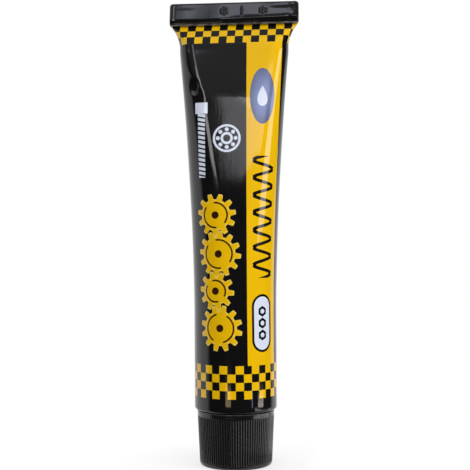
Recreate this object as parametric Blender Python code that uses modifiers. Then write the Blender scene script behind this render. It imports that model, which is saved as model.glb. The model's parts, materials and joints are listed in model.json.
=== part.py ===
"""Tube of grease: a drawn aluminium sleeve, folded shut at its filled end, on a ribbed screw cap.

The tube stands on its cap. The origin is the middle of the cap's end face, +Z runs up the tube,
X runs along the fold and the printed front faces -Y.
"""

import math
from typing import NamedTuple

import bmesh
import bpy

MM = 0.001

# Sleeve: drawn round, then pressed flat at the end that it is filled from
TUBE_DIAMETER = 30.0 * MM
TUBE_HEIGHT = 148.1 * MM  # shoulder to the top of the fold
FOIL_WALL = 0.15 * MM
ROUND_LENGTH = 34.7 * MM  # stretch above the shoulder that stays round
DEPTH_UNDER_FOLD = 9.3 * MM  # front to back, where the filled body meets the fold
FLATTENING_POWER = 1.7  # how late the sleeve flattens on its way up
OPENING_HEIGHT = 8.0 * MM  # the foil spreads from the fold to that depth over this height
OPENING_SLOPE = 1.24  # how steeply it starts to, against an even spread

# Shoulder and nozzle: the thick end of the same drawing
SHOULDER_CORNER = 1.0 * MM
SHOULDER_WALL = 0.7 * MM
SHOULDER_DROP = 2.6 * MM  # height of the cone between the cap's seat and the nozzle
NOZZLE_DIAMETER = 9.4 * MM  # at the root of the thread
NOZZLE_BORE = 6.5 * MM
NOZZLE_CHAMFER = 0.5 * MM
THREAD_HEIGHT = 0.8 * MM  # room that the thread takes on each side

# Fold: the flat end goes over to the front and then up inside itself
FOLD_HEIGHT = 7.8 * MM
FOLD_LAYER_GAP = 0.1 * MM
HEM_WIDTH = 1.45 * MM  # the lower bend stays this wide, between its two layers
CUT_EDGE_SETBACK = 1.2 * MM  # inner edge of the sheet, below the top bend
SEAL_THICKNESS = 0.1 * MM
SEAL_GAP = 0.05 * MM
SEAL_SETBACK = 0.6 * MM  # the seal stops this far inside both ends of the fold
SEAL_SIDE_SETBACK = 2.5 * MM  # and this far inside its creased sides

# Cap: one moulding with a ribbed skirt, an end wall and a threaded core
CAP_HEIGHT = 20.0 * MM
CAP_RIM_STEP = 0.95 * MM  # the rim lies this far inside the tube's wall
CAP_TAPER = 0.9 * MM  # the skirt draws in this far on each side, rim to end
CAP_WALL = 1.2 * MM
CAP_END_WALL = 2.2 * MM
CAP_END_RECESS = 0.4 * MM
CAP_FOOT_WIDTH = 2.0 * MM  # ring that the cap stands on
CAP_CORNER = 1.1 * MM
CAP_RIM_EDGE = 0.2 * MM
CAP_BAND = 1.5 * MM  # smooth band under the rim
RIB_COUNT = 90
RIB_DEPTH = 0.45 * MM
RIB_RUN_OUT = 0.5 * MM
CORE_WALL = 1.3 * MM
CORE_CHAMFER = 0.5 * MM

# Sealing disc in the cap, and the clearances
LINER_THICKNESS = 1.0 * MM
LINER_EDGE = 0.1 * MM
FIT_GAP = 0.3 * MM
THREAD_GAP = 0.15 * MM

# Facets
SIDE_POINTS = 24  # evenly spaced on the front, and again on the back
EDGE_RUN = 0.6 * MM  # one more point this far from each creased edge
CORNER_STEPS = 4
BEND_STEPS = 4
TAPER_STEPS = 15
OPENING_STEPS = 6
TURNED_STEPS = 48
CUT_MARGIN = 2.0 * MM  # how far a cutter stands out of what it cuts
MERGE_DISTANCE = 1e-6

# Heights, from the cap's end face upwards
LINER_Z = CAP_END_WALL + FIT_GAP
MOUTH_Z = LINER_Z + LINER_THICKNESS + FIT_GAP
SHOULDER_Z = CAP_HEIGHT + FIT_GAP
NECK_Z = SHOULDER_Z - SHOULDER_DROP
WALL_FOOT_Z = SHOULDER_Z + SHOULDER_CORNER
ROUND_TOP_Z = SHOULDER_Z + ROUND_LENGTH
TOP_Z = SHOULDER_Z + TUBE_HEIGHT
FOLD_Z = TOP_Z - FOLD_HEIGHT
OPENING_Z = FOLD_Z - OPENING_HEIGHT

# Radii and thicknesses that follow from the sizes above
TUBE_RADIUS = TUBE_DIAMETER / 2
NOZZLE_RADIUS = NOZZLE_DIAMETER / 2
BORE_RADIUS = NOZZLE_BORE / 2
CORE_BORE_RADIUS = NOZZLE_RADIUS + THREAD_HEIGHT + THREAD_GAP
CAP_RIM_RADIUS = TUBE_RADIUS - CAP_RIM_STEP
CORNER_RADIUS = TUBE_RADIUS - SHOULDER_CORNER  # where the shoulder's corner begins
SEAT_RADIUS = CAP_RIM_RADIUS - CAP_WALL - FIT_GAP  # inner edge of the cap's seat
LAYER = 2 * (FOIL_WALL + SEAL_GAP) + SEAL_THICKNESS  # sleeve pressed flat on its seal
LAYER_PITCH = LAYER + FOLD_LAYER_GAP


class Section(NamedTuple):
    """One cross section of the tube: where it lies, which way it faces and how flat it is."""

    y: float
    z: float
    heading: float  # 0 runs up, and a quarter turn runs to the front
    radius: float  # of the round tube with the same girth
    flatness: float  # depth as a share of the round tube's


def clear_scene():
    for item in list(bpy.data.objects):
        bpy.data.objects.remove(item, do_unlink=True)


def new_collection(name):
    collection = bpy.data.collections.new(name)
    bpy.context.scene.collection.children.link(collection)
    return collection


def principled(name, colour, roughness, metallic=0.0):
    material = bpy.data.materials.new(name)
    material.use_nodes = True
    shader = material.node_tree.nodes["Principled BSDF"]
    shader.inputs["Base Color"].default_value = (*colour, 1.0)
    shader.inputs["Roughness"].default_value = roughness
    shader.inputs["Metallic"].default_value = metallic
    return material


def add_object(name, mesh, collection, material=None):
    item = bpy.data.objects.new(name, mesh)
    collection.objects.link(item)
    mesh.shade_smooth()
    mesh.set_sharp_from_angle(angle=math.radians(35))
    if material:
        mesh.materials.append(material)
    return item


def mesh_of(name, points, faces):
    mesh = bpy.data.meshes.new(name)
    mesh.from_pydata(points, [], faces)
    mesh.update()
    return mesh


def steps(start, end, count):
    """Evenly spaced values after start, up to and with end."""
    return [start + (end - start) * step / count for step in range(1, count + 1)]


def section_point(section, turn):
    """Spine point and outward direction at a share of the girth, from the +X edge round by +Y.

    A section is two straight sides joined by half circles. Its girth is always that of the
    round tube, because foil doesn't stretch.
    """
    half_depth = section.flatness * section.radius
    half_flat = (1 - section.flatness) * math.pi / 2 * section.radius
    quarter = math.pi / 2 * section.radius
    run = 4 * quarter * turn
    side = 1 if run <= 2 * quarter else -1
    run = min(run, 4 * quarter - run)
    end = 1 if run <= quarter else -1
    run = min(run, 2 * quarter - run)
    arc = math.pi / 2 * half_depth
    if run < arc:
        angle = run / half_depth
        return end * half_flat, end * math.cos(angle), side * math.sin(angle)
    return end * (half_flat - run + arc), 0.0, float(side)


def ring_turns():
    """Shares of the girth that carry points: even steps, with closer ones beside both edges."""
    edge = EDGE_RUN / (math.pi * TUBE_DIAMETER)
    half = [0.0, edge] + steps(0.0, 0.5, SIDE_POINTS)[:-1] + [0.5 - edge]
    return half + [turn + 0.5 for turn in half]


def ring(section, inset=0.0):
    """Points round a section, drawn in from the outer skin by an inset."""
    reach = section.flatness * section.radius - inset
    points = []
    for turn in ring_turns():
        spine, across, through = section_point(section, turn)
        depth = reach * through
        points.append((
            spine + reach * across,
            section.y + depth * math.cos(section.heading),
            section.z + depth * math.sin(section.heading),
        ))
    return points


def round_section(radius, z):
    return Section(0.0, z, 0.0, radius, 1.0)


def pressed_section(y, z, heading):
    return Section(y, z, heading, TUBE_RADIUS, LAYER / TUBE_DIAMETER)


def sleeve_section(z):
    """Section of the sleeve at a height, from round at the foot to pressed flat at the fold."""
    rise = min(max((z - ROUND_TOP_Z) / (FOLD_Z - ROUND_TOP_Z), 0.0), 1.0)
    filled = 1 - (1 - DEPTH_UNDER_FOLD / TUBE_DIAMETER) * rise ** FLATTENING_POWER
    pressed = LAYER / TUBE_DIAMETER
    share = min(max((FOLD_Z - z) / OPENING_HEIGHT, 0.0), 1.0)
    opening = share ** 2 * (3 - 2 * share) + OPENING_SLOPE * share * (1 - share) ** 2
    flatness = pressed + (filled - pressed) * opening
    return Section(LAYER_PITCH * (1 - opening), z, 0.0, TUBE_RADIUS, flatness)


def filled_sections():
    """Sections of the sleeve above its foot, as far as it is filled."""
    heights = [ROUND_TOP_Z] + steps(ROUND_TOP_Z, OPENING_Z, TAPER_STEPS)
    return [sleeve_section(z) for z in heights]


def closing_sections():
    """Sections of the sleeve from the top of the filling to the foot of the fold."""
    return [sleeve_section(z) for z in steps(OPENING_Z, FOLD_Z, OPENING_STEPS)]


def bend(y, z, radius, heading):
    """Sections round a half turn of the fold, about a centre."""
    headings = [heading] + steps(heading, heading + math.pi, BEND_STEPS)
    return [
        pressed_section(y + radius * math.cos(angle), z + radius * math.sin(angle), angle)
        for angle in headings
    ]


def fold_sections():
    """Sections of the fold: up the back, over the top, down the front and up in between."""
    top_z = TOP_Z - LAYER_PITCH - LAYER / 2
    low_z = FOLD_Z + (HEM_WIDTH + LAYER) / 2
    sections = bend(0.0, top_z, LAYER_PITCH, 0.0)
    sections += bend(-HEM_WIDTH / 2, low_z, HEM_WIDTH / 2, math.pi)
    sections.append(pressed_section(0.0, top_z - CUT_EDGE_SETBACK, 2 * math.pi))
    return sections


def shoulder_outside():
    """Nozzle, cone, cap's seat and corner, from the mouth up to the sleeve's wall."""
    profile = [
        (NOZZLE_RADIUS - NOZZLE_CHAMFER, MOUTH_Z),
        (NOZZLE_RADIUS, MOUTH_Z + NOZZLE_CHAMFER),
        (NOZZLE_RADIUS, NECK_Z),
        (SEAT_RADIUS, SHOULDER_Z),
        (CORNER_RADIUS, SHOULDER_Z),
    ]
    for angle in steps(0.0, math.pi / 2, CORNER_STEPS):
        profile.append((
            CORNER_RADIUS + SHOULDER_CORNER * math.sin(angle),
            WALL_FOOT_Z - SHOULDER_CORNER * math.cos(angle),
        ))
    return profile


def shoulder_inside():
    """The bore, the inside of the cone and a corner that thins from shoulder to sleeve."""
    floor_z = SHOULDER_Z + SHOULDER_WALL
    slope = SHOULDER_DROP / (SEAT_RADIUS - NOZZLE_RADIUS)
    profile = [
        (BORE_RADIUS, MOUTH_Z),
        (BORE_RADIUS, floor_z - slope * (SEAT_RADIUS - BORE_RADIUS)),
        (SEAT_RADIUS, floor_z),
        (CORNER_RADIUS, floor_z),
    ]
    for angle in steps(0.0, math.pi / 2, CORNER_STEPS):
        profile.append((
            CORNER_RADIUS + (SHOULDER_CORNER - FOIL_WALL) * math.sin(angle),
            WALL_FOOT_Z - (SHOULDER_CORNER - SHOULDER_WALL) * math.cos(angle),
        ))
    return profile


def band(low, high, flip=False):
    """Triangles between two rings, named by their point numbers and all split the same way."""
    faces = []
    for number in range(len(low)):
        after = (number + 1) % len(low)
        halves = (low[number], low[after], high[after]), (low[number], high[after], high[number])
        faces += [half[::-1] if flip else half for half in halves]
    return faces


def skin(rows, flip=False):
    """Triangles along a row of rings, which face out, or in when flipped."""
    return [face for low, high in zip(rows, rows[1:]) for face in band(low, high, flip)]


def numbered(rings):
    """All points of some rings in one list, and the point numbers of each ring."""
    points = [point for one in rings for point in one]
    size = len(rings[0])
    return points, [range(row * size, (row + 1) * size) for row in range(len(rings))]


def tube_mesh(name):
    """Outer and inner skin, joined at the nozzle's mouth and at the cut edge inside the fold."""
    sheet = filled_sections() + closing_sections() + fold_sections()
    outside = [ring(round_section(radius, z)) for radius, z in shoulder_outside()]
    outside += [ring(section) for section in sheet]
    inside = [ring(round_section(radius, z)) for radius, z in shoulder_inside()]
    inside += [ring(section, FOIL_WALL) for section in sheet]
    points, rows = numbered(outside + inside)
    outer, inner = rows[:len(outside)], rows[len(outside):]
    faces = skin(outer) + skin(inner, flip=True)
    faces += band(inner[0], outer[0]) + band(outer[-1], inner[-1])
    return mesh_of(name, points, faces)


def grease_mesh(name):
    """The tube's inside, less a clearance, up to where the foil closes in."""
    rings = [
        ring(round_section(radius - FIT_GAP, z + FIT_GAP)) for radius, z in shoulder_inside()
    ]
    rings += [ring(section, FOIL_WALL + FIT_GAP) for section in filled_sections()]
    points, rows = numbered(rings)
    return mesh_of(name, points, skin(rows) + [tuple(rows[0])[::-1], tuple(rows[-1])])


def seal_mesh(name):
    """Strip along the middle of the fold, which a Solidify modifier gives its thickness."""
    first, *middle, last = [sleeve_section(FOLD_Z)] + fold_sections()
    path = [first._replace(z=first.z + SEAL_SETBACK), *middle, last._replace(z=last.z - SEAL_SETBACK)]
    half_width = (1 - first.flatness) * math.pi / 2 * first.radius - SEAL_SIDE_SETBACK
    points = [(side * half_width, section.y, section.z) for section in path for side in (1, -1)]
    faces = [(low, low + 1, low + 3, low + 2) for low in range(0, 2 * len(path) - 2, 2)]
    return mesh_of(name, points, faces)


def skirt_radius(z):
    """Radius of the cap's tapered skirt at a height."""
    return CAP_RIM_RADIUS - CAP_TAPER * (1 - z / CAP_HEIGHT)


def cap_outside():
    """Profile of the cap's outside, from the middle of its mouth down to the end recess."""
    corner_radius = skirt_radius(CAP_CORNER) - CAP_CORNER
    foot_radius = corner_radius - CAP_FOOT_WIDTH
    heights = [CAP_HEIGHT - CAP_BAND, rib_top(), rib_bottom(), CAP_CORNER]
    profile = [(0.0, CAP_HEIGHT), (CAP_RIM_RADIUS - CAP_RIM_EDGE, CAP_HEIGHT)]
    profile.append((CAP_RIM_RADIUS, CAP_HEIGHT - CAP_RIM_EDGE))
    profile += [(skirt_radius(z), z) for z in heights]
    for angle in steps(0.0, math.pi / 2, CORNER_STEPS):
        profile.append((
            corner_radius + CAP_CORNER * math.cos(angle),
            CAP_CORNER * (1 - math.sin(angle)),
        ))
    profile.append((foot_radius, 0.0))
    profile.append((foot_radius - CAP_END_RECESS, CAP_END_RECESS))
    profile.append((0.0, CAP_END_RECESS))
    return profile


def cap_inside():
    """Profile of the cap's hollow: inside of the skirt, round the core and down its bore."""
    top_z = CAP_HEIGHT + CUT_MARGIN
    core_z = NECK_Z - FIT_GAP
    core_radius = CORE_BORE_RADIUS + CORE_WALL
    return [
        (0.0, top_z),
        (skirt_radius(top_z) - CAP_WALL, top_z),
        (skirt_radius(CAP_END_WALL) - CAP_WALL, CAP_END_WALL),
        (core_radius, CAP_END_WALL),
        (core_radius, core_z),
        (CORE_BORE_RADIUS + CORE_CHAMFER, core_z),
        (CORE_BORE_RADIUS, core_z - CORE_CHAMFER),
        (CORE_BORE_RADIUS, CAP_END_WALL),
        (0.0, CAP_END_WALL),
    ]


def rib_top():
    return CAP_HEIGHT - CAP_BAND - RIB_RUN_OUT


def rib_bottom():
    return CAP_CORNER + RIB_RUN_OUT


def turned(name, profile, count, collection):
    """A profile in the XZ plane, swept round Z and kept as a plain mesh."""
    points = [(radius, 0.0, z) for radius, z in profile]
    outline = bpy.data.meshes.new(name + "_profile")
    outline.from_pydata(points, [(number, number + 1) for number in range(len(points) - 1)], [])
    guide = bpy.data.objects.new(name + "_profile", outline)
    collection.objects.link(guide)
    screw = guide.modifiers.new("turn", "SCREW")
    screw.axis = "Z"
    screw.angle = 2 * math.pi
    screw.steps = count
    screw.render_steps = count
    screw.use_merge_vertices = True
    screw.merge_threshold = MERGE_DISTANCE
    graph = bpy.context.evaluated_depsgraph_get()
    mesh = bpy.data.meshes.new_from_object(guide.evaluated_get(graph))
    mesh.name = name
    bpy.data.objects.remove(guide, do_unlink=True)
    return mesh


def press_ribs(mesh):
    """Draw every second column of the turned skirt inwards, which leaves the ribs standing."""
    shape = bmesh.new()
    shape.from_mesh(mesh)
    for vertex in shape.verts:
        column = round(math.atan2(vertex.co.y, vertex.co.x) / math.pi * RIB_COUNT)
        on_ribs = rib_bottom() - MERGE_DISTANCE < vertex.co.z < rib_top() + MERGE_DISTANCE
        if on_ribs and column % 2 and vertex.co.xy.length > CAP_RIM_RADIUS - CAP_WALL - CAP_TAPER:
            vertex.co.xy -= RIB_DEPTH * vertex.co.xy.normalized()
    shape.to_mesh(mesh)
    shape.free()


def build_tube(collection):
    lacquer = principled("black_lacquer", (0.012, 0.012, 0.014), 0.22)
    return add_object("tube_body", tube_mesh("tube_body"), collection, lacquer)


def build_grease(collection):
    grease = principled("graphite_grease", (0.03, 0.03, 0.033), 0.35)
    return add_object("grease_fill", grease_mesh("grease_fill"), collection, grease)


def build_seal(collection):
    latex = principled("latex", (0.55, 0.42, 0.26), 0.6)
    seal = add_object("end_seal_band", seal_mesh("end_seal_band"), collection, latex)
    thickness = seal.modifiers.new("thickness", "SOLIDIFY")
    thickness.thickness = SEAL_THICKNESS
    thickness.offset = 0.0
    thickness.use_even_offset = True
    return seal


def build_cap(collection, cutters):
    plastic = principled("black_cap_plastic", (0.016, 0.016, 0.016), 0.42)
    mesh = turned("screw_cap", cap_outside(), 2 * RIB_COUNT, collection)
    press_ribs(mesh)
    cap = add_object("screw_cap", mesh, collection, plastic)
    cutter = turned("cap_hollow", cap_inside(), TURNED_STEPS, cutters)
    hollow = add_object("cap_hollow", cutter, cutters)
    hollow.hide_render = True
    hollow.display_type = "WIRE"
    cut = cap.modifiers.new("hollow", "BOOLEAN")
    cut.operation = "DIFFERENCE"
    cut.object = hollow
    return cap, hollow


def build_liner(collection):
    foam = principled("liner_foam", (0.75, 0.75, 0.72), 0.7)
    radius = CORE_BORE_RADIUS - THREAD_GAP
    profile = [
        (0.0, LINER_THICKNESS),
        (radius - LINER_EDGE, LINER_THICKNESS),
        (radius, LINER_THICKNESS - LINER_EDGE),
        (radius, LINER_EDGE),
        (radius - LINER_EDGE, 0.0),
        (0.0, 0.0),
    ]
    mesh = turned("cap_liner", profile, TURNED_STEPS, collection)
    liner = add_object("cap_liner", mesh, collection, foam)
    liner.location.z = LINER_Z
    return liner


def main():
    clear_scene()
    parts = new_collection("grease_tube")
    cutters = new_collection("cutters")
    build_tube(parts)
    build_grease(parts)
    build_seal(parts)
    cap, hollow = build_cap(parts, cutters)
    liner = build_liner(parts)
    axis = bpy.data.objects.new("cap_axis", None)
    parts.objects.link(axis)
    for item in (cap, hollow, liner):
        item.parent = axis


main()
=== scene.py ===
import json
import math

import bpy
import numpy as np
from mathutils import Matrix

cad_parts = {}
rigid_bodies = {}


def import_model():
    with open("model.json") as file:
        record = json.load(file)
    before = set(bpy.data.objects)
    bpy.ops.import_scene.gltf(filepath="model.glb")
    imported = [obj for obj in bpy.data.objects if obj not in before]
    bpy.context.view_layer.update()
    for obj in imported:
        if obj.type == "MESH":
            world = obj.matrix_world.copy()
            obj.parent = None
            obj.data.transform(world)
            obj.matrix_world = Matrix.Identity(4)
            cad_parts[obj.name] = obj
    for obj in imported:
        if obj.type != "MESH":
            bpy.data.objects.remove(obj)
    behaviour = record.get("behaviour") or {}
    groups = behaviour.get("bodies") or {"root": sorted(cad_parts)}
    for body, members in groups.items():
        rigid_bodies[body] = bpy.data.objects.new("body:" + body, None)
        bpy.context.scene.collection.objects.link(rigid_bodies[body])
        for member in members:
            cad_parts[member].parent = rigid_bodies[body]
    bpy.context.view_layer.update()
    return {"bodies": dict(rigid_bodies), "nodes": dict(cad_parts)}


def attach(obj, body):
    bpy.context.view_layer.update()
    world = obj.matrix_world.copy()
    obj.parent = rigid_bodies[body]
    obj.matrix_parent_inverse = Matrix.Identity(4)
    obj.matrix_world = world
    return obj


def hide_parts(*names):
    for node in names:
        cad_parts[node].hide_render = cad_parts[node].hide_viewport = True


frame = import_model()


# The tube: one drawn shell of soft aluminium, thick at the nozzle and shoulder, foil-thin up
# the sleeve. It is filled from the open end, which is then pressed flat and folded over
# twice. The sleeve is lacquered black and printed; nozzle and shoulder stay bare.
MM = 0.001
TUBE_RADIUS = 15.0
GIRTH = 2 * math.pi * TUBE_RADIUS
FOIL_WALL = 0.15
SHOULDER_WALL = 0.7
WALL_FOOT_Z = 21.3
ROUND_TOP_Z = 55.0
OPENING_Z = 152.6
FOLD_Z = 160.6
TOP_Z = 168.4
FILLED_DEPTH = 0.31  # under the fold, as a share of the round tube's
FILLED_CURVE = 1.7
OPENING_SLOPE = 1.24
OPENING_START = 0.45
PRESSED_DEPTH = 0.5 / (2 * TUBE_RADIUS)
LAYER = 0.5
LAYER_PITCH = 0.6
HEM_WIDTH = 1.45
HEM_HEIGHT = 1.95
CUT_EDGE_SETBACK = 1.2
FLAP_SPREAD = 0.25
SHOULDER_CORNER = 1.0
CORNER_RADIUS = TUBE_RADIUS - SHOULDER_CORNER

NOZZLE_OUTSIDE = [
    (4.2, 3.8), (4.4, 3.86), (4.58, 4.02), (4.7, 4.3), (4.7, 4.6), (4.7, 8.0), (4.7, 12.0),
    (4.7, 16.7), (4.72, 17.1), (4.82, 17.4), (5.02, 17.66), (5.4, 17.9), (6.0, 18.12),
    (8.0, 18.79), (10.0, 19.45), (12.0, 20.1), (12.55, 20.26), (12.9, 20.3), (14.0, 20.3),
]
NOZZLE_INSIDE = [
    (4.0, 3.8), (3.4, 3.9), (3.25, 4.1), (3.25, 8.0), (3.25, 13.0), (3.25, 17.3), (3.35, 17.8),
    (3.8, 18.15), (6.0, 18.85), (9.0, 19.85), (12.55, 21.0), (14.0, 21.0),
]
# Just below the fold the foil tucks in at its edges, which narrows the sleeve.
TUCK_Z = [150.0, 152.6, 154.6, 156.8, 158.3, 159.2, 160.1]
TUCK = [1.0, 0.985, 0.972, 0.967, 0.971, 0.99, 1.0]


def eased(share):
    """Smooth rise from 0 to 1."""
    share = np.clip(share, 0.0, 1.0)
    return share * share * (3 - 2 * share)


def sleeve_row(z):
    """(y, z, heading, radius, flatness) of the sleeve at a height, from round to pressed flat."""
    rise = np.clip((z - ROUND_TOP_Z) / (FOLD_Z - ROUND_TOP_Z), 0.0, 1.0)
    filled = 1 - (1 - FILLED_DEPTH) * rise ** FILLED_CURVE
    share = np.clip((FOLD_Z - z) / (FOLD_Z - OPENING_Z), 0.0, 1.0)
    opening = eased(share) + OPENING_SLOPE * share * (1 - share) ** 2
    opening -= OPENING_START * share ** 2 * (1 - share)
    flatness = PRESSED_DEPTH + (filled - PRESSED_DEPTH) * opening
    return LAYER_PITCH * (1 - opening), z, 0.0, TUBE_RADIUS, flatness


def fold_rows():
    """Up the back, over the top, down the front, round the hem and up again in between."""
    crown = TOP_Z - LAYER_PITCH - LAYER / 2
    hem = FOLD_Z + LAYER / 2 + HEM_HEIGHT
    over = np.linspace(0, math.pi, 13)
    under = np.linspace(math.pi, 2 * math.pi, 15)
    down = np.linspace(0, 1, 20)[1:-1]
    up = np.linspace(hem, crown - CUT_EDGE_SETBACK, 5)[1:]
    lean = HEM_WIDTH - LAYER_PITCH
    y = [np.full(9, LAYER_PITCH), LAYER_PITCH * np.cos(over), -LAYER_PITCH - lean * down]
    z = [np.linspace(FOLD_Z, crown, 10)[:-1], crown + LAYER_PITCH * np.sin(over)]
    y += [HEM_WIDTH / 2 * (np.cos(under) - 1), np.zeros(len(up))]
    z += [crown + (hem - crown) * down, hem + HEM_HEIGHT * np.sin(under), up]
    y, z = np.concatenate(y), np.concatenate(z)
    heading = np.unwrap(np.arctan2(-np.gradient(y), np.gradient(z)))
    return [(*place, TUBE_RADIUS, PRESSED_DEPTH) for place in zip(y, z, heading)][1:]


def corner_rows(radius, drop):
    """Quarter round from the shoulder up into the wall."""
    angles = np.linspace(0, math.pi / 2, 9)[1:]
    return [
        (0.0, WALL_FOOT_Z - drop * math.cos(a), 0.0, CORNER_RADIUS + radius * math.sin(a), 1.0)
        for a in angles
    ]


def section(run, radius, flatness, tuck=1.0):
    """Spine x and outward direction at a run round the girth, counted from the front middle.

    Two straight sides joined by half circles, as long round as the round tube. Where the foil
    is tucked, its edges take up what is spare, and the front stays as it was.
    """
    quarter = math.pi / 2 * radius
    half_flat = tuck * (1 - flatness) * quarter
    angle = np.clip((np.abs(run) - half_flat) / (quarter - half_flat), 0.0, 2.0) * math.pi / 2
    beyond = np.clip(np.abs(run) + half_flat - 2 * quarter, 0.0, None)
    spine = np.minimum(np.abs(run), half_flat) - beyond
    return np.sign(run) * spine, np.sign(run) * np.sin(angle), -np.cos(angle)


# A crease that the foil steps up at, by height: its run round the girth and how far it stands
# out. Left of it lies a dent.
CREASE_Z = [124, 128, 130, 132.7, 134.9, 137.1, 139.7, 142, 144.6, 148.4, 151]
CREASE_RUN = [-8.3, -8.6, -8.9, -9.3, -9.9, -11.1, -12.9, -15.1, -16.9, -18.4, -19.2]
CREASE_HEIGHT = [0.0, 0.05, 0.14, 0.25, 0.3, 0.3, 0.3, 0.27, 0.22, 0.1, 0.0]
CREASE_ROUNDING = 0.45
CREASE_RUN_OUT = 26
DENT_RUN, DENT_Z = -13.7, 137.0
DENT_HALF_WIDTH, DENT_HALF_HEIGHT = 2.4, 3.6
DENT_DEPTH = 0.33
DENT_FLOOR = 0.4
WAVE_HEIGHT = 0.015
WAVES_FOOT_Z, WAVES_RISE, WAVES_FALL = 30, 40, 6


def handling_marks(run, z):
    """How far the foil stands out, in mm: a crease beside a dent, and soft waves."""
    beside = run - np.interp(z, CREASE_Z, CREASE_RUN)
    height = np.interp(z, CREASE_Z, CREASE_HEIGHT)
    crease = height * np.where(
        beside < 0,
        np.exp(CREASE_ROUNDING - np.hypot(beside, CREASE_ROUNDING)),
        1 - eased(beside / CREASE_RUN_OUT),
    )
    from_dent = np.hypot((run - DENT_RUN) / DENT_HALF_WIDTH, (z - DENT_Z) / DENT_HALF_HEIGHT)
    dent = DENT_DEPTH * (1 - eased((from_dent - DENT_FLOOR) / (1 - DENT_FLOOR)))
    softness = eased((z - WAVES_FOOT_Z) / WAVES_RISE) * eased((OPENING_Z - z) / WAVES_FALL)
    waves = np.sin(run / 3.7 + z / 13) * np.sin(z / 9.1 + 1.2) + np.sin(run / 5.3 - z / 7.7)
    return crease - dent + WAVE_HEIGHT * softness * waves


# Marks that the folding jaws press into the flap: x of each bar and half its length.
JAW_MARKS = [
    (-4.3, 0.8), (-3.4, 1.3), (-2.5, 0.8), (3.1, 1.3), (9.9, 0.8), (10.8, 1.3), (11.8, 0.7),
]
JAW_MARK_Z = 165.2
JAW_MARK_DEPTH = 0.1
JAW_MARK_HALF_WIDTH = 0.3
JAW_MARK_ROUNDING = 0.2


def jaw_marks(x, z):
    """How far the flap's front is pressed in, in mm."""
    depth = 0.0
    for bar, half_length in JAW_MARKS:
        beside = np.abs(x - bar) / JAW_MARK_HALF_WIDTH
        beyond = np.abs(z - JAW_MARK_Z) / (half_length + JAW_MARK_ROUNDING)
        depth = np.maximum(depth, JAW_MARK_DEPTH * np.exp(-beside ** 3 - beyond ** 6))
    return depth


# How far handling has moved the fold, and where, in mm.
FOLD_REACH = 23
END_CURL, END_CURL_X, END_CURL_WIDTH = 0.3, 22.3, 1.3
RIPPLE = 0.03
RUMPLE, RUMPLE_X, RUMPLE_WIDTH = 0.1, 19.0, 3
FLAP_LEAN, FLAP_DROP, FLAP_FORWARD = 0.25, 0.4, 0.1
HEM_CURL, HEM_CURL_X, HEM_CURL_Z, HEM_CURL_DROP = 0.05, -10, 164.4, 2.2
TOP_TILT = 0.12
TOP_CORNER, TOP_CORNER_X, TOP_CORNER_WIDTH = 0.5, 22.8, 0.8


def worn_fold(x, y, z, flap):
    """The fold after handling: ends that curl back, soft top corners, and a rumpled right end.

    The flap, where its share is 1, hangs a little low. Towards the right it leans out, and
    its hem curls back in.
    """
    low = eased((z - FOLD_Z + 0.6) / 2)
    high = eased((z - TOP_Z + 3.0) / 2)
    y = y + END_CURL * low * np.clip((np.abs(x) - END_CURL_X) / END_CURL_WIDTH, 0, 1) ** 2
    y = y + RIPPLE * low * (np.sin(0.42 * x + 0.6) + np.sin(0.27 * x - 0.35 * z))
    right_end = eased((x - RUMPLE_X) / RUMPLE_WIDTH)
    y = y + RUMPLE * low * right_end * np.sin(1.7 * x + 0.9 * z) * np.sin(1.3 * z)
    hanging = flap * np.clip((TOP_Z - 1 - z) / 6, 0, 1)
    y = y - FLAP_LEAN * flap * (1 - high) * np.clip(x / FOLD_REACH, 0, 1) - FLAP_FORWARD * hanging
    curled = eased((x - HEM_CURL_X) / (FOLD_REACH - HEM_CURL_X))
    y = y + HEM_CURL * flap * curled * np.clip(HEM_CURL_Z - z, 0, HEM_CURL_DROP) ** 2
    z = z - FLAP_DROP * hanging + TOP_TILT * high * (1 - x / FOLD_REACH)
    corner = np.clip((np.abs(x) - TOP_CORNER_X) / TOP_CORNER_WIDTH, 0, 1)
    return x, y, z - TOP_CORNER * high * corner ** 2


# Run round the girth of each column of points: closer at the crease, at both pressed edges and
# where the back of the sleeve, which the flap is folded from, carries the marks of the jaws.
CLOSE_LEFT, CLOSE_RIGHT = -20.0, -6.0
CLOSE_LOW_Z, CLOSE_HIGH_Z = 130, 143
edge = GIRTH / 4
close = np.array([-0.36, -0.18, 0.0, 0.18, 0.36])
runs = [np.linspace(-GIRTH / 2, CLOSE_LEFT, 37)[:-1]]
runs += [np.linspace(CLOSE_LEFT, CLOSE_RIGHT, 51)[:-1]]
runs += [np.linspace(CLOSE_RIGHT, GIRTH / 2, 72), edge + close, -edge + close]
for bar, _ in JAW_MARKS:
    runs.append(math.copysign(GIRTH / 2, bar) - bar + np.linspace(-0.42, 0.42, 5))
runs = np.unique(np.concatenate(runs))
columns = len(runs) - 1

shoulder = [(0.0, z, 0.0, radius, 1.0) for radius, z in NOZZLE_OUTSIDE]
shoulder += corner_rows(SHOULDER_CORNER, SHOULDER_CORNER)
wall = [sleeve_row(z) for z in np.linspace(WALL_FOOT_Z, ROUND_TOP_Z, 15)[1:]]
wall += [sleeve_row(z) for z in np.linspace(ROUND_TOP_Z, CLOSE_LOW_Z, 60)[1:]]
wall += [sleeve_row(z) for z in np.linspace(CLOSE_LOW_Z, CLOSE_HIGH_Z, 36)[1:]]
wall += [sleeve_row(z) for z in np.linspace(CLOSE_HIGH_Z, OPENING_Z, 12)[1:-1]]
wall += [sleeve_row(OPENING_Z + step) for step in (-0.06, 0.0, 0.06)]
wall += [sleeve_row(z) for z in np.linspace(OPENING_Z, FOLD_Z, 33)[1:]]
sheet = wall + fold_rows()
bore = [(0.0, z, 0.0, radius, 1.0) for radius, z in NOZZLE_INSIDE]
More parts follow.
